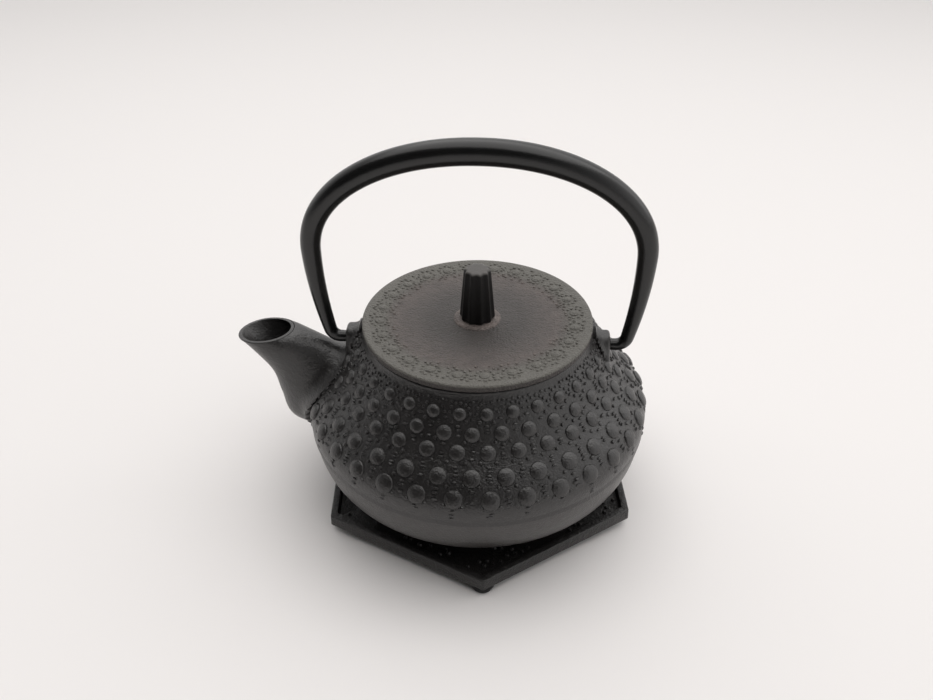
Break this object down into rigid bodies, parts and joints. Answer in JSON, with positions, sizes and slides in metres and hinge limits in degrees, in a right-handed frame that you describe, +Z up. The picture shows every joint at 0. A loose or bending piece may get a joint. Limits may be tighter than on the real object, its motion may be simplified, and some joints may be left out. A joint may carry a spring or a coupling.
{
  "type": "cast iron teapot",
  "caption": "Low round cast iron teapot with a raised bead pattern, bail handle, flat lid with fluted knob, hanging tea infuser and a hexagonal trivet with rubber feet",
  "frame": {"origin": "centre of the assembly's box in plan, on the plane that the trivet's rubber feet stand on", "axes": "+X from the spout towards the handle lug opposite it, +Y towards the pot's back, +Z up; the spout's mouth points to -X, and the pot's own axis of revolution stands at x = 0.014"},
  "size_m": [0.172, 0.144, 0.1593],
  "materials": {
    "pot_iron": "matte black sand-cast iron with a fine grain and dark enamel inside",
    "lid_iron": "matte black-brown cast iron, grainy in the middle and smooth at the rim",
    "knob_iron": "satin black cast iron, worn lighter on its top",
    "handle_enamel": "satin black baked enamel on a forged bar",
    "trivet_iron": "satin dark grey cast iron with a black recessed floor",
    "stainless": "satin stainless steel",
    "stainless_mesh": "fine perforated stainless steel sheet",
    "foot_rubber": "matte black rubber"
  },
  "bodies": {
    "stand": {"trivet": "trivet_iron", "trivet_foot_1": "foot_rubber", "trivet_foot_2": "foot_rubber", "trivet_foot_3": "foot_rubber"},
    "pot": {"pot_body": "pot_iron"},
    "bail": {"handle": "handle_enamel"},
    "infuser": {"infuser_rim": "stainless", "infuser_wall": "stainless_mesh", "infuser_base_ring": "stainless", "infuser_base_mesh": "stainless_mesh"},
    "cover": {"lid": "lid_iron", "lid_knob": "knob_iron", "knob_washer": "stainless", "knob_rivet": "stainless"}
  },
  "joints": [
    {"name": "pot_lift", "type": "slide", "parent": "stand", "child": "pot", "axis": [0, 0, 1], "range_m": [0, 0.06]},
    {"name": "handle_swing", "type": "hinge", "parent": "pot", "child": "bail", "pos_m": [0.014, 0, 0.0727], "axis": [1, 0, 0], "range_deg": [-105, 105]},
    {"name": "infuser_lift", "type": "slide", "parent": "pot", "child": "infuser", "axis": [0, 0, 1], "range_m": [0, 0.04]},
    {"name": "lid_lift", "type": "slide", "parent": "infuser", "child": "cover", "axis": [0, 0, 1], "range_m": [0, 0.04]}
  ]
}
